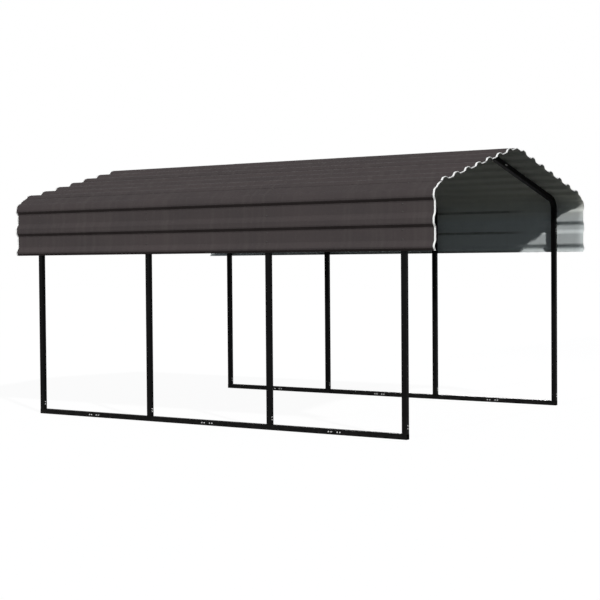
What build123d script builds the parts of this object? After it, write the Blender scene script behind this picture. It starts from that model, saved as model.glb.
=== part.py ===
from build123d import *
import math
import os

# Open metal carport: four tube bents on two base rails, with ribbed sheet over them.
# Millimetres, +Z up. X runs across, Y runs along the ridge, the ground is z = 0.
# The drive-in gable is at -Y. Left is -X. Bents are numbered from the drive-in gable.

# Square frame tube and the swaged ends that slip into the next tube
tube = 50.8
wall = 2.0
tube_corner = 2.8
fit_clearance = 0.4
swage_length = 110.0
swage_shoulder = 2.0

# Frame
frame_width = 3460.0
bent_spacing = 1480.0
bent_count = 4
roof_angle = 14.0
elbow_radius = 150.0
peak_height = 2713.0
rafter_tail = 270.0
stub_height = 150.0
peak_tube_reach = 400.0
rail_joint_gap = 0.6

# Ribbed sheet
sheet = 0.75
seat_clearance = 0.1
lap_clearance = 0.1
overhang = 305.0
rib_pitch = 236.0
first_rib = 174.0
rib_base = 130.0
rib_crest = 54.0
rib_depth = 26.0
bend_cut = 7.0
least_pan = 30.0
eave_facet = 9.0

# Edge rib along the bottom of each skirt
skirt_height = 466.0
edge_crest = 20.0
edge_lower_flank = 27.0
edge_return = 3.0

# Laps between sheets
lap_cover = 0.8
lap_start = 10.0
end_lap = 90.0
ridge_sheet_ribs = 3

# Light trim clipped on the sheet edges at both gables
trim_width = 15.0
trim_thickness = 1.0
trim_drop = 3.0
trim_gap = 0.1
trim_break = 8.0

os.makedirs("parts", exist_ok=True)

# Derived sizes
half_width = frame_width / 2
leg_x = half_width - tube / 2
bore = tube - 2 * wall
swage = bore - 2 * fit_clearance
swage_bore = swage - 2 * wall
roof_length = (bent_count - 1) * bent_spacing + tube + 2 * overhang
lap_offset = sheet + lap_clearance
angle = math.radians(roof_angle)
turn = math.radians(90 - roof_angle)
tangent = elbow_radius * math.tan(turn / 2)
arc_x = half_width - elbow_radius
arc_z = peak_height - half_width * math.tan(angle) - tangent
leg_top = arc_z - rafter_tail
slope_length = (half_width - tangent * math.cos(angle)) / math.cos(angle)
arc_length = elbow_radius * turn
path_length = slope_length + arc_length + skirt_height
bent_y = [(i - (bent_count - 1) / 2) * bent_spacing for i in range(bent_count)]
lap_y = bent_y[-2]
flank = (rib_base - rib_crest) / 2
flank_angle = math.atan2(rib_depth, flank)
edge_height = flank + edge_crest + edge_lower_flank

# Ribs from the ridge down, as lengths along the outside of the bent
last_start = path_length - edge_height - least_pan
ribs = []
while first_rib + len(ribs) * rib_pitch + rib_base / 2 <= last_start:
    ribs.append(first_rib + len(ribs) * rib_pitch)
eave_lap_rib = sum(1 for s in ribs if s + rib_base / 2 <= slope_length) - 1
ridge_lap_rib = min(ridge_sheet_ribs, eave_lap_rib) - 1


def save(shape, name):
    export_step(shape, "parts/" + name + ".step")


def ring(outer, inner, corner):
    section = Rectangle(outer, outer)
    if corner:
        section = chamfer(section.vertices(), corner)
    return section - Rectangle(inner, inner)


def straight(section, start, end):
    # Section pushed from start to end, with its sides square to the Y or X axis.
    run = Vector(*end) - Vector(*start)
    across = (1, 0, 0) if abs(run.Y) > abs(run.X) + abs(run.Z) else (0, 1, 0)
    plane = Plane(origin=start, x_dir=across, z_dir=run.normalized())
    return extrude(plane * section, amount=run.length)


def swaged(body, joint, tip):
    # Add a swaged end to a tube that stops at joint, reaching on towards tip.
    way = (Vector(*tip) - Vector(*joint)).normalized()
    seat = Vector(*joint) - way * swage_shoulder
    reach = Vector(*joint) + way * swage_length
    body += straight(ring(tube, swage_bore, tube_corner), tuple(seat), joint)
    return body + straight(ring(swage, swage_bore, 0), tuple(seat), tuple(reach))


def base_rail(side, index):
    # One rail length with the welded stub that a leg slips over.
    x = side * leg_x
    z = tube / 2
    first = index == 0
    last = index == bent_count - 1
    start = bent_y[index] - (tube / 2 if first else bent_spacing / 2)
    end = bent_y[index] + (tube / 2 if last else bent_spacing / 2 - rail_joint_gap)
    rail = straight(ring(tube, bore, tube_corner), (x, start, z), (x, end, z))
    if not last:
        rail = swaged(rail, (x, end, z), (x, end + 1, z))
    foot = (x, bent_y[index], tube - wall / 2)
    head = (x, bent_y[index], tube + stub_height)
    return rail + straight(ring(swage, swage_bore, 0), foot, head)


def leg(side, index):
    x = side * leg_x
    y = bent_y[index]
    post = straight(ring(tube, bore, tube_corner), (x, y, tube), (x, y, leg_top))
    return swaged(post, (x, y, leg_top), (x, y, leg_top + 1))


def slope_centre(s):
    # Centre of the rafter tube at length s from the peak, measured along the slope.
    x = s * math.cos(angle) - tube / 2 * math.sin(angle)
    z = peak_height - s * math.sin(angle) - tube / 2 * math.cos(angle)
    return (x, z)


def rafter(side, index):
    # Bent tube: up from the leg, round the eave, then along the slope to the peak tube.
    y = bent_y[index]
    r = elbow_radius - tube / 2
    low = (leg_x, y, leg_top)
    spring = (leg_x, y, arc_z)
    crown = (arc_x + r * math.cos(turn / 2), y, arc_z + r * math.sin(turn / 2))
    x, z = slope_centre(slope_length)
    far_x, far_z = slope_centre(peak_tube_reach)
    path = Line(low, spring) + ThreePointArc(spring, crown, (x, y, z)) + Line((x, y, z), (far_x, y, far_z))
    start = Plane(origin=low, x_dir=(0, 1, 0), z_dir=(0, 0, 1))
    body = sweep(start * ring(tube, bore, tube_corner), path=path)
    return body if side > 0 else mirror(body, about=Plane.YZ)


def peak_tube(index):
    # Mitred and welded at the ridge, with a swaged end for each rafter.
    y = bent_y[index]
    top = (0, y, peak_height - tube / 2 / math.cos(angle))
    x, z = slope_centre(peak_tube_reach - fit_clearance)
    start = Plane(origin=(-x, y, z), x_dir=(0, 1, 0), z_dir=(math.cos(angle), 0, math.sin(angle)))
    path = Polyline((-x, y, z), top, (x, y, z))
    body = sweep(start * ring(tube, bore, tube_corner), path=path, transition=Transition.RIGHT)
    drop = math.tan(angle)
    body = swaged(body, (x, y, z), (x + 1, y, z - drop))
    return swaged(body, (-x, y, z), (-x - 1, y, z - drop))


def path_point(s, h):
    # Point at length s from the peak along the outside of the bent, h outward from it.
    if s <= slope_length:
        x = s * math.cos(angle) + h * math.sin(angle)
        z = peak_height - s * math.sin(angle) + h * math.cos(angle)
        return (x, z)
    if s <= slope_length + arc_length:
        a = turn - (s - slope_length) / elbow_radius
        r = elbow_radius + h
        return (arc_x + r * math.cos(a), arc_z + r * math.sin(a))
    return (half_width + h, arc_z - (s - slope_length - arc_length))


def rib(s, grow=0.0):
    # Corners of the rib at s; grow is how far it stands outside the rib that it laps.
    foot = rib_base / 2 + grow / math.sin(flank_angle)
    crest = rib_crest / 2 + grow * math.tan(flank_angle / 2)
    depth = rib_depth + grow
    return [(s - foot, 0), (s - crest, depth), (s + crest, depth), (s + foot, 0)]


def edge_rib():
    top = path_length - edge_height
    crest = top + flank
    low = crest + edge_crest
    return [(top, 0), (crest, rib_depth), (low, rib_depth), (path_length, edge_return)]


def lapping_rib(s):
    # Rib that covers its twin on the sheet below, down to just short of its foot.
    foot_up, crest_up, crest_down, foot_down = rib(s, 2 * lap_offset)
    end = tuple(a + (b - a) * lap_cover for a, b in zip(crest_down, foot_down))
    return [foot_up, crest_up, crest_down, end]


def lapped_rib(s):
    # What shows of a covered rib starts on its crest.
    corners = rib(s)
    return [(corners[1][0] + lap_start, rib_depth)] + corners[2:]


def profile(corners):
    # Cut each corner to a small bend, then wrap the line over the slope, eave and skirt.
    line = [corners[0]]
    for a, b, c in zip(corners, corners[1:], corners[2:]):
        for p in (a, c):
            t = min(bend_cut / math.dist(p, b), 0.4)
            line.append((b[0] + (p[0] - b[0]) * t, b[1] + (p[1] - b[1]) * t))
    line.append(corners[-1])
    points = [path_point(line[0][0], line[0][1] + seat_clearance)]
    for (s0, h0), (s1, h1) in zip(line, line[1:]):
        low = max(s0, slope_length)
        high = min(s1, slope_length + arc_length)
        if high > low:
            count = math.ceil((high - low) / eave_facet)
            for j in range(count + 1):
                s = low + (high - low) * j / count
                if s0 < s < s1:
                    h = h0 + (h1 - h0) * (s - s0) / (s1 - s0)
                    points.append(path_point(s, h + seat_clearance))
        points.append(path_point(s1, h1 + seat_clearance))
    return points


def over_ridge(points):
    # Mirror a profile that starts at the peak so that it runs over both slopes.
    half = [(0, peak_height + seat_clearance / math.cos(angle))] + points[1:]
    return [(-x, z) for x, z in half[:0:-1]] + half


def unit_normal(a, b):
    length = math.dist(a, b)
    return ((a[1] - b[1]) / length, (b[0] - a[0]) / length)


def offset_line(points, distance):
    # Parallel copy of a profile on its outer side, with mitred corners.
    normals = [unit_normal(a, b) for a, b in zip(points, points[1:])]
    before = [normals[0]] + normals
    after = normals + [normals[-1]]
    out = []
    for (x, z), (ax, az), (bx, bz) in zip(points, before, after):
        k = distance / (1 + ax * bx + az * bz)
        out.append((x + (ax + bx) * k, z + (az + bz) * k))
    return out


def strip(points, low, high, y0, y1, side):
    # Solid between two parallel copies of a profile, from y0 to y1.
    loop = offset_line(points, low) + offset_line(points, high)[::-1]
    wire = Polyline(*[(side * x, y0, z) for x, z in loop], close=True)
    return extrude(make_face(wire), amount=y1 - y0, dir=(0, 1, 0))


def edge_trim(points, rise, gable, side):
    # Folded trim: a leaf over the sheet and a lip across its cut edge.
    edge = gable * roof_length / 2
    inner = edge - gable * trim_width
    lip = edge + gable * trim_gap
    outer = lip + gable * trim_thickness
    low = rise + sheet + trim_gap
    top = low + trim_thickness
    leaf = strip(points, low, top, min(inner, outer), max(inner, outer), side)
    return leaf + strip(points, rise - trim_drop, top, min(lip, outer), max(lip, outer), side)


sides = {"left": -1, "right": 1}

for side_name, side in sides.items():
    for i in range(bent_count):
        number = str(i + 1)
        save(base_rail(side, i), "base_rail_" + side_name + "_" + number)
        save(leg(side, i), "leg_" + side_name + "_" + number)
        save(rafter(side, i), "rafter_" + side_name + "_" + number)

for i in range(bent_count):
    save(peak_tube(i), "peak_tube_" + str(i + 1))

# Corner lists of the three sheet profiles, from the ridge down
ridge_corners = [(0, 0)] + [p for s in ribs[:ridge_lap_rib] for p in rib(s)]
ridge_corners += lapping_rib(ribs[ridge_lap_rib])
slope_ribs = [p for s in ribs[ridge_lap_rib + 1 : eave_lap_rib] for p in rib(s)]
slope_corners = lapped_rib(ribs[ridge_lap_rib]) + slope_ribs + lapping_rib(ribs[eave_lap_rib])
eave_ribs = [p for s in ribs[eave_lap_rib + 1 :] for p in rib(s)]
eave_corners = lapped_rib(ribs[eave_lap_rib]) + eave_ribs + edge_rib()

ridge_line = over_ridge(profile(ridge_corners))
slope_line = profile(slope_corners)
eave_line = profile(eave_corners)

# Trim stops short of each covered rib, where the sheet above carries on
slope_start = (ribs[ridge_lap_rib] + rib_base / 2 + trim_break, 0)
eave_start = (ribs[eave_lap_rib] + rib_base / 2 + trim_break, 0)
slope_trim_line = profile([slope_start] + slope_corners[3:])
eave_trim_line = profile([eave_start] + eave_corners[3:])

# The front lengths lap over the rear ones, above a bent
front_end = lap_y + end_lap / 2
rear_start = lap_y - end_lap / 2
lengths = {
    "front": (-roof_length / 2, front_end, lap_offset, -1),
    "rear": (rear_start, roof_length / 2, 0.0, 1),
}

for end_name, (y0, y1, rise, gable) in lengths.items():
    save(strip(ridge_line, rise, rise + sheet, y0, y1, 1), "ridge_sheet_" + end_name)
    save(edge_trim(ridge_line, rise, gable, 1), "ridge_trim_" + end_name)
    for side_name, side in sides.items():
        tail = side_name + "_" + end_name
        save(strip(slope_line, rise, rise + sheet, y0, y1, side), "slope_sheet_" + tail)
        save(strip(eave_line, rise, rise + sheet, y0, y1, side), "eave_sheet_" + tail)
        slope_trim = edge_trim(slope_trim_line, rise, gable, side)
        eave_trim = edge_trim(eave_trim_line, rise, gable, side)
        save(Compound(children=[slope_trim, eave_trim]), "edge_trim_" + tail)
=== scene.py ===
import math

import bpy
from mathutils import Matrix, Vector


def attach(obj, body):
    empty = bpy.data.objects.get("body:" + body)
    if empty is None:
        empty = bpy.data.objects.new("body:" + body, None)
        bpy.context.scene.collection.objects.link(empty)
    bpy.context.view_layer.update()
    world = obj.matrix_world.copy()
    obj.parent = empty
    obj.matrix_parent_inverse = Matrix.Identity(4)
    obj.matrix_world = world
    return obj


# Open metal carport: black tube bents on two base rails, brown ribbed sheet with a pale back,
# white trim on the gable edges, zinc screws in the frame and painted screws in the sheet.
# Metres, +Z up, X across, Y along the ridge, drive-in gable at -Y.

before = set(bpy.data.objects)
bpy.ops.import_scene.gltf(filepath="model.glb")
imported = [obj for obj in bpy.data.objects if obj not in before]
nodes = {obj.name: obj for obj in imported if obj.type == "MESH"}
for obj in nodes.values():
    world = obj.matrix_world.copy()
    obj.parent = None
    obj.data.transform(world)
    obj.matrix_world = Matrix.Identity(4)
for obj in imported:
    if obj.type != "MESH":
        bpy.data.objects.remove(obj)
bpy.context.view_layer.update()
scene = bpy.context.scene

# The part's own sizes
SIDES = {"left": -1, "right": 1}
BENT_Y = (-2.22, -0.74, 0.74, 2.22)
RAIL_JOINT_Y = (-1.48, 0.0, 1.48)
TUBE = 0.0508
LEG_X = 1.7046
SKIRT_X = 1.73
PEAK = 2.713
ROOF_ANGLE = math.radians(14)

# Colours, in linear light
BROWN, BROWN_SHADE = (0.0550, 0.0455, 0.0455), (0.0475, 0.0405, 0.0410)
RAIN_STREAK = (0.074, 0.066, 0.062)
BROWN_DUST = (0.076, 0.070, 0.064)
BROWN_SPECK = (0.092, 0.084, 0.078)
# Painted shade for the rib flanks that face down
RIB_PAINTED_SHADE = (0.0175, 0.0137, 0.0132)
BACKER, BACKER_SHADE = (0.71, 0.70, 0.605), (0.65, 0.64, 0.56)
# Painted cool skylight tint for the back of the skirts
SKIRT_PAINTED_SKY_TINT = (0.745, 0.800, 0.805)
BACKER_FLECK = (0.52, 0.50, 0.44)
BACKER_STAIN = (0.50, 0.50, 0.47)
# Painted shade for the back's rib flanks that face up
LEDGE_PAINTED_SHADE = (0.24, 0.24, 0.23)
BLACK, BLACK_SHADE = (0.0050, 0.0050, 0.0050), (0.0032, 0.0032, 0.0033)
RUBBED = (0.016, 0.0155, 0.015)
TUBE_DUST = (0.020, 0.0185, 0.0165)
TUBE_SPLASH = (0.024, 0.0215, 0.0185)
TUBE_CHIP = (0.05, 0.048, 0.045)
WHITE, WHITE_SHADE = (0.82, 0.82, 0.80), (0.76, 0.76, 0.745)
TRIM_GRIME = (0.50, 0.49, 0.46)
ZINC, ZINC_SHADE = (0.52, 0.52, 0.51), (0.36, 0.365, 0.37)
ZINC_DULL = (0.24, 0.235, 0.225)
HEAD_BROWN, HEAD_SHADE = (0.046, 0.040, 0.038), (0.034, 0.031, 0.030)
HEAD_CHIP = (0.16, 0.155, 0.15)


# ---------------------------------------------------------------- shader tools


def new_material(name):
    material = bpy.data.materials.new(name)
    material.use_nodes = True
    tree = material.node_tree
    return material, tree, tree.nodes["Principled BSDF"]


def add(tree, kind, **settings):
    made = tree.nodes.new(kind)
    for key, value in settings.items():
        setattr(made, key, value)
    return made


def place(tree, stretch=(1, 1, 1)):
    """Object coordinates, scaled by stretch."""
    coordinates = add(tree, "ShaderNodeTexCoord")
    mapping = add(tree, "ShaderNodeMapping")
    mapping.inputs["Scale"].default_value = stretch
    tree.links.new(coordinates.outputs["Object"], mapping.inputs["Vector"])
    return mapping.outputs["Vector"]


def noise(tree, scale, detail, roughness, stretch=(1, 1, 1)):
    made = add(tree, "ShaderNodeTexNoise")
    made.inputs["Scale"].default_value = scale
    made.inputs["Detail"].default_value = detail
    made.inputs["Roughness"].default_value = roughness
    tree.links.new(place(tree, stretch), made.inputs["Vector"])
    return made.outputs["Fac"]


def spread(tree, value, low, high, to_low=0.0, to_high=1.0):
    """Maps low..high to to_low..to_high, held at the ends."""
    made = add(tree, "ShaderNodeMapRange")
    made.inputs["From Min"].default_value = low
    made.inputs["From Max"].default_value = high
    made.inputs["To Min"].default_value = to_low
    made.inputs["To Max"].default_value = to_high
    tree.links.new(value, made.inputs["Value"])
    return made.outputs["Result"]


def patches(tree, scale, detail, roughness, low, high, most=1.0, stretch=(1, 1, 1)):
    """Mask from noise: 0 where the noise is under low, most where it is over high."""
    return spread(tree, noise(tree, scale, detail, roughness, stretch), low, high, 0.0, most)


def times(tree, a, b):
    made = add(tree, "ShaderNodeMath", operation="MULTIPLY")
    tree.links.new(a, made.inputs[0])
    tree.links.new(b, made.inputs[1])
    return made.outputs["Value"]


def blend(tree, factor, a, b):
    """Mix of two colours, each a socket or an RGB triple."""
    made = add(tree, "ShaderNodeMix", data_type="RGBA")
    tree.links.new(factor, made.inputs["Factor"])
    for socket, colour in ((made.inputs[6], a), (made.inputs[7], b)):
        if isinstance(colour, tuple):
            socket.default_value = (*colour, 1)
        else:
            tree.links.new(colour, socket)
    return made.outputs[2]


def one_axis(tree, vector, axis):
    split = add(tree, "ShaderNodeSeparateXYZ")
    tree.links.new(vector, split.inputs[0])
    return split.outputs[axis]


def part_of(tree, axis):
    """One of the object coordinates, in metres."""
    return one_axis(tree, place(tree), axis)


def facing_part(tree, axis):
    """One part of the surface's own direction, -1 to 1."""
    coordinates = add(tree, "ShaderNodeTexCoord")
    return one_axis(tree, coordinates.outputs["Normal"], axis)


def vary_roughness(tree, shader, scale, detail, least, most):
    value = spread(tree, noise(tree, scale, detail, 0.6), 0.3, 0.7, least, most)
    tree.links.new(value, shader.inputs["Roughness"])


def bumps(tree, shader, *layers):
    """Stacks height layers, each (height, depth in metres, strength), into the normal."""
    last = None
    for height, depth, strength in layers:
        bump = add(tree, "ShaderNodeBump")
        bump.inputs["Strength"].default_value = strength
        bump.inputs["Distance"].default_value = depth
        tree.links.new(height, bump.inputs["Height"])
        if last:
            tree.links.new(last, bump.inputs["Normal"])
        last = bump.outputs["Normal"]
    tree.links.new(last, shader.inputs["Normal"])


# ---------------------------------------------------------------- materials

# Tangent of 59 degrees. Out from the sheet is taken as 31 degrees up on both halves, which
# parts the weather side from the back on the slope, the eave and the skirt alike.
OUT_SLOPE = 1.664

# Specular level of the two dull coats
MATT = 0.03


def faces_out(tree):
    """1 on the weather side and cut edges of the sheet, 0 on its back."""
    half = add(tree, "ShaderNodeMath", operation="SIGN")
    tree.links.new(part_of(tree, "X"), half.inputs[0])
    sideways = times(tree, half.outputs["Value"], facing_part(tree, "X"))
    outward = add(tree, "ShaderNodeMath", operation="MULTIPLY_ADD")
    outward.inputs[1].default_value = OUT_SLOPE
    tree.links.new(sideways, outward.inputs[0])
    tree.links.new(facing_part(tree, "Z"), outward.inputs[2])
    above = add(tree, "ShaderNodeMath", operation="GREATER_THAN")
    above.inputs[1].default_value = 0.0
    tree.links.new(outward.outputs["Value"], above.inputs[0])
    return above.outputs["Value"]


def weather_side(tree):
    """Brown baked paint with rain streaks, dust and fine specks, and painted shade under the ribs.
    """
    mottle = patches(tree, 2.2, 4.0, 0.55, 0.3, 0.7, stretch=(1.6, 0.5, 1.6))
    colour = blend(tree, mottle, BROWN, BROWN_SHADE)
    streaks = patches(tree, 1.0, 5.0, 0.6, 0.5, 0.8, 0.42, stretch=(0.7, 17.0, 0.7))
    colour = blend(tree, streaks, colour, RAIN_STREAK)
    dust = patches(tree, 34.0, 6.0, 0.7, 0.5, 0.85, 0.3)
    colour = blend(tree, dust, colour, BROWN_DUST)
    specks = patches(tree, 310.0, 4.0, 0.7, 0.58, 0.72, 0.4)
    colour = blend(tree, specks, colour, BROWN_SPECK)
    # Painted shade: the rib flanks that face down are darkened, unevenly.
    under = spread(tree, facing_part(tree, "Z"), -0.54, -0.36, 0.85, 0.0)
    uneven = spread(tree, noise(tree, 7.0, 5.0, 0.65, (1, 0.3, 1)), 0.25, 0.6, 0.75, 1.0)
    return blend(tree, times(tree, under, uneven), colour, RIB_PAINTED_SHADE)


def back_side(tree):
    """Pale backer coat with a painted cool sky tint on the skirts, with flecks, stains and painted
    shade on the ribs' ledges.
    """
    haze = patches(tree, 3.0, 4.0, 0.6, 0.3, 0.75, stretch=(1.5, 0.6, 1.5))
    colour = blend(tree, haze, BACKER, BACKER_SHADE)
    # Painted cool skylight tint on the back of the skirts, low down.
    skirt = spread(tree, part_of(tree, "Z"), 2.04, 2.30, 0.85, 0.0)
    colour = blend(tree, skirt, colour, SKIRT_PAINTED_SKY_TINT)
    flecks = patches(tree, 240.0, 4.0, 0.7, 0.6, 0.74, 0.35)
    colour = blend(tree, flecks, colour, BACKER_FLECK)
    stains = patches(tree, 1.3, 5.0, 0.65, 0.55, 0.85, 0.3, stretch=(0.8, 9.0, 0.8))
    colour = blend(tree, stains, colour, BACKER_STAIN)
    # Painted shade lies on the rib flanks that face up. It fades out 1.6 to 1.9 m from the middle.
    upward = facing_part(tree, "Z")
    steep_enough = spread(tree, upward, 0.44, 0.52)
    not_too_flat = spread(tree, upward, 0.68, 0.76, 1.0, 0.0)
    along = part_of(tree, "Y")
    away_from_gables = spread(tree, times(tree, along, along), 2.6, 3.6, 0.68, 0.0)
    uneven = spread(tree, noise(tree, 26.0, 6.0, 0.7, (1, 0.4, 1)), 0.35, 0.65, 0.72, 1.12)
    ledge = times(tree, times(tree, steep_enough, not_too_flat), away_from_gables)
    return blend(tree, times(tree, ledge, uneven), colour, LEDGE_PAINTED_SHADE)


def make_sheet_paint():
    """Both sides of the ribbed sheet, with soft oil-canning."""
    material, tree, shader = new_material("ribbed_sheet_paint")
    colour = blend(tree, faces_out(tree), back_side(tree), weather_side(tree))
    tree.links.new(colour, shader.inputs["Base Color"])
    vary_roughness(tree, shader, 9.0, 5.0, 0.62, 0.78)
    shader.inputs["Specular IOR Level"].default_value = MATT
    oil_canning = noise(tree, 1.0, 1.0, 0.4, (5.0, 1.1, 5.0))
    grain = noise(tree, 420.0, 2.0, 0.5)
    bumps(tree, shader, (oil_canning, 0.004, 0.25), (grain, 0.0004, 0.22))
    return material


def make_tube_coat():
    """Black powder coat: orange peel, rubbed patches, chips, dust on top and dirt low down."""
    material, tree, shader = new_material("black_tube_coat")
    colour = blend(tree, patches(tree, 5.0, 4.0, 0.6, 0.3, 0.7), BLACK, BLACK_SHADE)
    rub = patches(tree, 62.0, 6.0, 0.72, 0.66, 0.8, 0.4, stretch=(1, 1, 0.25))
    colour = blend(tree, rub, colour, RUBBED)
    on_top = spread(tree, facing_part(tree, "Z"), 0.5, 0.9, 0.0, 0.7)
    dust = times(tree, on_top, patches(tree, 14.0, 6.0, 0.7, 0.35, 0.7))
    colour = blend(tree, dust, colour, TUBE_DUST)
    low_down = spread(tree, part_of(tree, "Z"), 0.0, 0.22, 1.0, 0.0)
    splash = times(tree, low_down, patches(tree, 26.0, 6.0, 0.7, 0.45, 0.75, 0.5))
    colour = blend(tree, splash, colour, TUBE_SPLASH)
    chips = patches(tree, 170.0, 4.0, 0.75, 0.73, 0.76, 0.7)
    colour = blend(tree, chips, colour, TUBE_CHIP)
    tree.links.new(colour, shader.inputs["Base Color"])
    vary_roughness(tree, shader, 18.0, 5.0, 0.5, 0.66)
    shader.inputs["Specular IOR Level"].default_value = MATT
    bumps(tree, shader, (noise(tree, 520.0, 2.0, 0.5), 0.0003, 0.15))
    return material


def make_trim_paint():
    """White satin paint on the folded edge trim, with grey grime in patches."""
    material, tree, shader = new_material("white_trim_paint")
    colour = blend(tree, patches(tree, 7.0, 4.0, 0.6, 0.3, 0.7), WHITE, WHITE_SHADE)
    grime = patches(tree, 48.0, 6.0, 0.7, 0.58, 0.82, 0.45)
    colour = blend(tree, grime, colour, TRIM_GRIME)
    tree.links.new(colour, shader.inputs["Base Color"])
    vary_roughness(tree, shader, 30.0, 4.0, 0.34, 0.48)
    shader.inputs["Specular IOR Level"].default_value = 0.35
    bumps(tree, shader, (noise(tree, 480.0, 2.0, 0.5), 0.0003, 0.2))
    return material


def make_zinc():
    """Bright zinc plate on the frame screws, clouded and dulled in spots."""
    material, tree, shader = new_material("zinc_plate")
    colour = blend(tree, patches(tree, 260.0, 5.0, 0.65, 0.3, 0.7), ZINC, ZINC_SHADE)
    dull = patches(tree, 700.0, 4.0, 0.6, 0.58, 0.75, 0.6)
    colour = blend(tree, dull, colour, ZINC_DULL)
    tree.links.new(colour, shader.inputs["Base Color"])
    vary_roughness(tree, shader, 500.0, 4.0, 0.42, 0.6)
    shader.inputs["Metallic"].default_value = 0.85
    bumps(tree, shader, (noise(tree, 1400.0, 3.0, 0.6), 0.0001, 0.25))
    return material


def make_screw_paint():
    """Brown painted heads that match the sheet, worn to grey on some corners."""
    material, tree, shader = new_material("painted_screw_heads")
    colour = blend(tree, patches(tree, 180.0, 4.0, 0.6, 0.3, 0.7), HEAD_BROWN, HEAD_SHADE)
    chips = patches(tree, 640.0, 5.0, 0.7, 0.62, 0.74, 0.7)
    colour = blend(tree, chips, colour, HEAD_CHIP)
    tree.links.new(colour, shader.inputs["Base Color"])
    vary_roughness(tree, shader, 300.0, 4.0, 0.38, 0.55)
    shader.inputs["Specular IOR Level"].default_value = 0.3
    bumps(tree, shader, (noise(tree, 1500.0, 3.0, 0.6), 0.0001, 0.2))
    return material


sheet_paint = make_sheet_paint()
tube_coat = make_tube_coat()
trim_paint = make_trim_paint()
zinc = make_zinc()
screw_paint = make_screw_paint()

for name, node in nodes.items():
    if "trim" in name:
        finish = trim_paint
    elif "sheet" in name:
        finish = sheet_paint
    else:
        finish = tube_coat
    node.data.materials.clear()
    node.data.materials.append(finish)


# ---------------------------------------------------------------- modelling tools

# Edges that bend less than this are smoothed
SHALLOW = math.radians(35)
BEAD_SHALLOW = math.radians(60)

FLANGE_SIDES = 18
# Of the flange's height: its bevel, and how deep the head sits in it
FLANGE_BEVEL, HEAD_SEAT = 0.45, 0.5
# Of the size across the flats: the crown's bevel, and the dish's rim and depth
CROWN_BEVEL, DISH_RIM, DISH_DEPTH = 0.09, 0.12, 0.05

BEAD_SIDES = 8
BEAD_STEPS = 24
# Of the bead's radius: its grooves, and its two tips
GROOVE, TIP = 0.78, 0.5

# How far outside the part a screw starts on its way in
REACH = 0.2


def deselect():
    bpy.ops.object.select_all(action="DESELECT")


def take(piece):
    """Makes piece the only selected object and the active one."""
    deselect()
    bpy.context.view_layer.objects.active = piece
    piece.select_set(True)


def edit(piece):
    take(piece)
    bpy.ops.object.mode_set(mode="EDIT")


def leave_edit():
    bpy.ops.object.mode_set(mode="OBJECT")


def pick(piece, chosen, what="faces"):
    """Selects only the faces or edges for which chosen is true. The piece stays in edit mode."""
    bpy.ops.mesh.select_mode(type="FACE" if what == "faces" else "EDGE")
    bpy.ops.mesh.select_all(action="DESELECT")
    leave_edit()
    mesh = piece.data
    for element in mesh.polygons if what == "faces" else mesh.edges:
        element.select = chosen(mesh, element)
    bpy.ops.object.mode_set(mode="EDIT")


def settle(piece, smooth=SHALLOW):
    """Puts the piece's place into its mesh and smooths its shallow edges."""
    take(piece)
    bpy.ops.object.transform_apply(location=True, rotation=True, scale=True)
    bpy.ops.object.shade_smooth_by_angle(angle=smooth)


def edge_middle(mesh, edge):
    return sum((mesh.vertices[v].co for v in edge.vertices), Vector()) / 2


def edge_run(mesh, edge):
    """How far an edge runs along X."""
    first, last = edge.vertices
    return abs(mesh.vertices[first].co.x - mesh.vertices[last].co.x)


def on_upper_half(mesh, edge):
    return all(mesh.vertices[v].co.z > 0 for v in edge.vertices)


def cylinder_on(base, radius, depth, sides):
    """Upright prism with its foot at height base, selected alone."""
    deselect()
    bpy.ops.mesh.primitive_cylinder_add(
        vertices=sides, radius=radius, depth=depth, location=(0, 0, base + depth / 2)
    )
    return bpy.context.object


def hex_screw(name, flange, flange_height, across, head_height):
    """Hex washer head on +Z, its flange on z = 0, with a chamfered crown and a dished middle."""
    washer = cylinder_on(0, flange, flange_height, FLANGE_SIDES)
    rim = flange_height / 2 * 0.9
    edit(washer)
    pick(washer, lambda m, e: edge_middle(m, e).z > rim and on_upper_half(m, e), "edges")
    bpy.ops.mesh.bevel(offset=flange_height * FLANGE_BEVEL, segments=1)
    leave_edit()
    settle(washer)

    seat = flange_height * HEAD_SEAT
    corner_radius = across / 2 / math.cos(math.radians(30))
    head = cylinder_on(seat, corner_radius, head_height + seat, 6)
    edit(head)
    pick(head, on_upper_half, "edges")
    bpy.ops.mesh.bevel(offset=across * CROWN_BEVEL, segments=1)
    pick(head, lambda m, f: f.normal.z > 0.95)
    bpy.ops.mesh.inset(thickness=across * DISH_RIM)
    down = (0, 0, -across * DISH_DEPTH)
    bpy.ops.mesh.extrude_region_move(TRANSFORM_OT_translate={"value": down})
    leave_edit()
    settle(head)

    joined = washer.modifiers.new("union", "BOOLEAN")
    joined.operation = "UNION"
    joined.solver = "EXACT"
    joined.object = head
    take(washer)
    bpy.ops.object.modifier_apply(modifier="union")
    bpy.data.objects.remove(head)
    washer.name = name
    return washer


def weld_bead(name, length, radius):
    """Rippled bead along X, tapered at both ends."""
    deselect()
    bpy.ops.mesh.primitive_cylinder_add(
        vertices=BEAD_SIDES, radius=radius, depth=length, rotation=(0, math.pi / 2, 0)
    )
    bead = bpy.context.object
    settle(bead)
    step = length / BEAD_STEPS

    def in_groove(mesh, edge):
        x = edge_middle(mesh, edge).x
        ring = round((x + length / 2) / step)
        return abs(x) < length * 0.47 and edge_run(mesh, edge) < 1e-6 and ring % 2 == 1

    edit(bead)
    pick(bead, lambda m, e: edge_run(m, e) > length * 0.9, "edges")
    bpy.ops.mesh.subdivide(number_cuts=BEAD_STEPS - 1)
    pick(bead, in_groove, "edges")
    bpy.ops.transform.resize(value=(1, GROOVE, GROOVE))
    pick(bead, lambda m, e: abs(edge_middle(m, e).x) > length * 0.49, "edges")
    bpy.ops.transform.resize(value=(1, TIP, TIP))
    leave_edit()
    settle(bead, BEAD_SHALLOW)
    bead.name = name
    return bead


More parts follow.
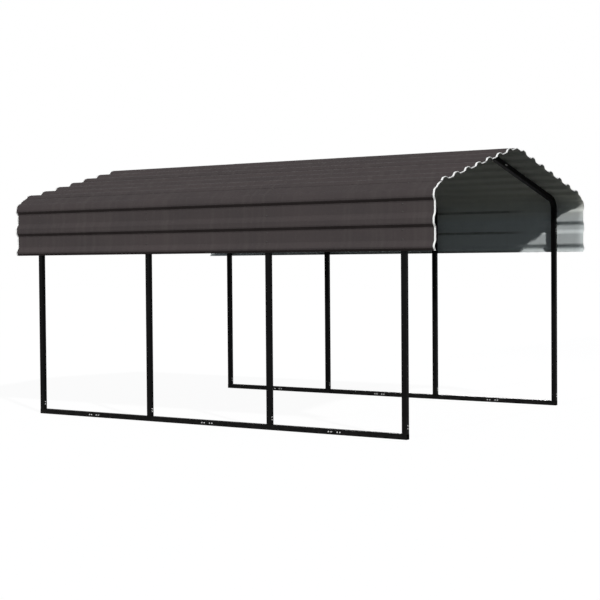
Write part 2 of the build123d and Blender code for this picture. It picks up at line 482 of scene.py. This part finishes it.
def facing(normal, spin):
    """Turn that takes +Z to normal, after a spin about it."""
    turn = Vector(normal).to_track_quat("Z", "Y").to_matrix().to_4x4()
    return turn @ Matrix.Rotation(spin, 4, "Z")


def landing(names, point, normal):
    """Where a line from outside, along -normal, first meets one of the named CAD nodes."""
    normal = Vector(normal).normalized()
    start = Vector(point) + normal * REACH
    best = None
    for name in names:
        hit, found, _, _ = nodes[name].ray_cast(start, -normal)
        if hit and (best is None or (found - start).length < (best - start).length):
            best = found
    if best is None:
        raise RuntimeError("nothing to land on near %s" % (point,))
    return best


def set_of(name, pattern, places, finish):
    """Copies of pattern at each (point, normal, spin), joined as one piece that rides along."""
    copies = []
    for point, normal, spin in places:
        copy = pattern.copy()
        copy.data = pattern.data.copy()
        scene.collection.objects.link(copy)
        copy.matrix_world = Matrix.Translation(point) @ facing(normal, spin)
        copies.append(copy)
    deselect()
    for copy in copies:
        copy.select_set(True)
    bpy.context.view_layer.objects.active = copies[0]
    bpy.ops.object.join()
    made = bpy.context.view_layer.objects.active
    bpy.ops.object.transform_apply(location=True, rotation=True, scale=True)
    made.name = name
    made.data.name = name
    made.data.materials.clear()
    made.data.materials.append(finish)
    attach(made, "root")


# ---------------------------------------------------------------- screws and welds

# Flange radius, flange height, size across the flats, and height of the head
frame_screw = hex_screw("frame_screw_pattern", 0.0068, 0.0012, 0.0095, 0.0042)
sheet_screw = hex_screw("sheet_screw_pattern", 0.0072, 0.0018, 0.0080, 0.0040)
mitre_bead = weld_bead("mitre_bead_pattern", 0.046, 0.0026)

# Along a rail, from its joint
RAIL_SCREWS = (-0.062, -0.033, 0.033, 0.062)
# Heights on a leg, on the rafter over it, and on the skirt
FOOT_SCREWS = (0.099, 0.125)
HEAD_SCREWS = (1.928, 1.951)
SKIRT_SCREWS = (2.121, 2.049, 1.886, 1.801)
# Lengths down the slope from the ridge, in the rafter and in the sheet. The last one of the
# sheet is on the eave bend.
PEAK_SCREWS = (0.415, 0.441)
SLOPE_SCREWS = (0.093, 0.255, 0.491, 0.727, 0.963, 1.199, 1.435, 1.667)

TO_FRONT = (0, -1, 0)


# Degrees. A hex head looks the same after each HEX_REPEAT.
TURN_STEP, HEX_REPEAT = 37, 60


def turned(place_number):
    """A different hex turn for each screw, as hands leave them."""
    return math.radians((place_number * TURN_STEP) % HEX_REPEAT)


def rail_spots(side_name, side):
    spots = []
    for joint_index, joint in enumerate(RAIL_JOINT_Y):
        rails = ["base_rail_%s_%d" % (side_name, joint_index + n) for n in (1, 2)]
        for i, shift in enumerate(RAIL_SCREWS):
            for face in (-1, 1):
                point = (side * LEG_X + face * TUBE / 2, joint + shift, TUBE / 2)
                out = (face, 0, 0)
                spin = turned(i + joint_index * 3 + face)
                spots.append((landing(rails, point, out), out, spin))
    return spots


def frame_spots(tail, side, number, y):
    """On the front face of a leg and its rafter."""
    x = side * LEG_X
    front = y - TUBE / 2
    leg, rafter = ["leg_" + tail], ["rafter_" + tail]
    spots = []
    for i, z in enumerate(FOOT_SCREWS):
        spots.append((landing(leg, (x, front, z), TO_FRONT), TO_FRONT, turned(i + number)))
    for i, z in enumerate(HEAD_SCREWS):
        spin = turned(i * 2 + number)
        spots.append((landing(rafter, (x, front, z), TO_FRONT), TO_FRONT, spin))
    for i, s in enumerate(PEAK_SCREWS):
        sx = side * (s * math.cos(ROOF_ANGLE) - TUBE / 2 * math.sin(ROOF_ANGLE))
        sz = PEAK - s * math.sin(ROOF_ANGLE) - TUBE / 2 * math.cos(ROOF_ANGLE)
        spots.append((landing(rafter, (sx, front, sz), TO_FRONT), TO_FRONT, turned(i + 5)))
    return spots


def sheet_spots(side_name, side, number, y):
    """Through the pans of the sheet into a bent."""
    names = []
    for end in ("front", "rear"):
        names.append("ridge_sheet_" + end)
        names += ["%s_sheet_%s_%s" % (kind, side_name, end) for kind in ("slope", "eave")]
    slope_out = (side * math.sin(ROOF_ANGLE), 0, math.cos(ROOF_ANGLE))
    skirt_out = (side, 0, 0)
    spots = []
    for i, s in enumerate(SLOPE_SCREWS):
        point = (side * s * math.cos(ROOF_ANGLE), y, PEAK - s * math.sin(ROOF_ANGLE))
        spots.append((landing(names, point, slope_out), slope_out, turned(i + number)))
    for i, z in enumerate(SKIRT_SCREWS):
        point = (side * SKIRT_X, y, z)
        spots.append((landing(names, point, skirt_out), skirt_out, turned(i + 2 * number)))
    return spots


for side_name, side in SIDES.items():
    rails = rail_spots(side_name, side)
    set_of("rail_screws_" + side_name, frame_screw, rails, zinc)
    for number, y in enumerate(BENT_Y, 1):
        tail = "%s_%d" % (side_name, number)
        spots = frame_spots(tail, side, number, y)
        set_of("frame_screws_" + tail, frame_screw, spots, zinc)
        spots = sheet_spots(side_name, side, number, y)
        set_of("sheet_screws_" + tail, sheet_screw, spots, screw_paint)

upright = math.radians(90)
mitre_z = PEAK - TUBE / 2 / math.cos(ROOF_ANGLE)
for number, y in enumerate(BENT_Y, 1):
    spots = [((0, y + face * TUBE / 2, mitre_z), (0, face, 0), upright) for face in (-1, 1)]
    set_of("peak_weld_%d" % number, mitre_bead, spots, tube_coat)

for pattern in (frame_screw, sheet_screw, mitre_bead):
    bpy.data.objects.remove(pattern)


# ---------------------------------------------------------------- floor and world

FLOOR_SIZE = 120
FLOOR_GLOW = 1.045
FLOOR_SHADOW = 0.10
FLOOR_PALE = (0.8, 0.8, 0.8, 1)
FLOOR_BOUNCE = (0.056, 0.060, 0.062, 1)
SKY_WHITE, SKY_FILL = (1.0, 1.0, 1.0), (0.90, 0.99, 1.12)
SKY_STRENGTH, SKY_FILL_STRENGTH = 1.0, 0.17


def seen_directly(tree):
    """1 for rays from the camera, a reflection or a see-through surface, 0 for the others."""
    path = add(tree, "ShaderNodeLightPath")
    seen = path.outputs["Is Camera Ray"]
    for ray in ("Is Glossy Ray", "Is Transmission Ray"):
        either = add(tree, "ShaderNodeMath", operation="MAXIMUM")
        tree.links.new(seen, either.inputs[0])
        tree.links.new(path.outputs[ray], either.inputs[1])
        seen = either.outputs["Value"]
    return seen


def mix_shaders(tree, factor, a, b):
    """Mix of two shaders, by a number or a socket."""
    made = add(tree, "ShaderNodeMixShader")
    if isinstance(factor, float):
        made.inputs["Fac"].default_value = factor
    else:
        tree.links.new(factor, made.inputs["Fac"])
    tree.links.new(a.outputs[0], made.inputs[1])
    tree.links.new(b.outputs[0], made.inputs[2])
    return made


def make_floor():
    """White to the camera and in reflections, faintly shadowed, and dark to bounced light."""
    material, tree, shader = new_material("pale_floor")
    tree.nodes.remove(shader)
    glow = add(tree, "ShaderNodeEmission")
    glow.inputs["Strength"].default_value = FLOOR_GLOW
    shadowed = add(tree, "ShaderNodeBsdfDiffuse")
    shadowed.inputs["Color"].default_value = FLOOR_PALE
    bounce = add(tree, "ShaderNodeBsdfDiffuse")
    bounce.inputs["Color"].default_value = FLOOR_BOUNCE
    pale = mix_shaders(tree, FLOOR_SHADOW, glow, shadowed)
    whole = mix_shaders(tree, seen_directly(tree), bounce, pale)
    tree.links.new(whole.outputs[0], tree.nodes["Material Output"].inputs["Surface"])
    return material


deselect()
bpy.ops.mesh.primitive_plane_add(size=FLOOR_SIZE, location=(0, 0, 0))
floor = bpy.context.object
floor.name = "floor"
floor.data.materials.append(make_floor())

world = bpy.data.worlds.new("studio")
scene.world = world
world.use_nodes = True
sky_tree = world.node_tree
sky = sky_tree.nodes["Background"]
seen = seen_directly(sky_tree)
strength = spread(sky_tree, seen, 0.0, 1.0, SKY_FILL_STRENGTH, SKY_STRENGTH)
sky_tree.links.new(strength, sky.inputs["Strength"])
sky_tree.links.new(blend(sky_tree, seen, SKY_FILL, SKY_WHITE), sky.inputs["Color"])


# ---------------------------------------------------------------- lamps and camera

# Name, way the light goes, strength, and spread in degrees. The key comes from above, on the
# side of the drive-in gable, and the fills light the two long sides from low down.
LAMPS = (
    ("key_light", (1.0, 1.6, -1.5), 2.34, 2.0),
    ("side_fill", (1.0, 0.0, -0.16), 2.04, 3.0),
    ("far_fill", (-1.0, -0.45, -0.09), 1.5, 8.0),
)

for name, way, strength, spread_angle in LAMPS:
    lamp = bpy.data.lights.new(name, "SUN")
    lamp.energy = strength
    lamp.angle = math.radians(spread_angle)
    holder = bpy.data.objects.new(name, lamp)
    scene.collection.objects.link(holder)
    holder.rotation_mode = "QUATERNION"
    holder.rotation_quaternion = Vector(way).to_track_quat("-Z", "Y")

# Camera that the photo was fitted with. Yaw turns from +Y to +X.
CAMERA_PLACE = (-12.486, -8.172, 1.5935)
YAW, PITCH, ROLL = 0.98994, -0.02676, -0.0077
LENS = 82.08
SENSOR = 36
CLIP_END = 300

forward = Vector(
    (math.sin(YAW) * math.cos(PITCH), math.cos(YAW) * math.cos(PITCH), math.sin(PITCH))
)
level_right = Vector((math.cos(YAW), -math.sin(YAW), 0))
level_up = level_right.cross(forward)
right = math.cos(ROLL) * level_right + math.sin(ROLL) * level_up
up = math.cos(ROLL) * level_up - math.sin(ROLL) * level_right

lens = bpy.data.cameras.new("photo_view")
lens.sensor_width = SENSOR
lens.lens = LENS
lens.clip_end = CLIP_END
camera = bpy.data.objects.new("photo_view", lens)
scene.collection.objects.link(camera)
turn = Matrix((right, up, -forward)).transposed().to_4x4()
camera.matrix_world = Matrix.Translation(CAMERA_PLACE) @ turn
scene.camera = camera

scene.view_settings.view_transform = "Standard"
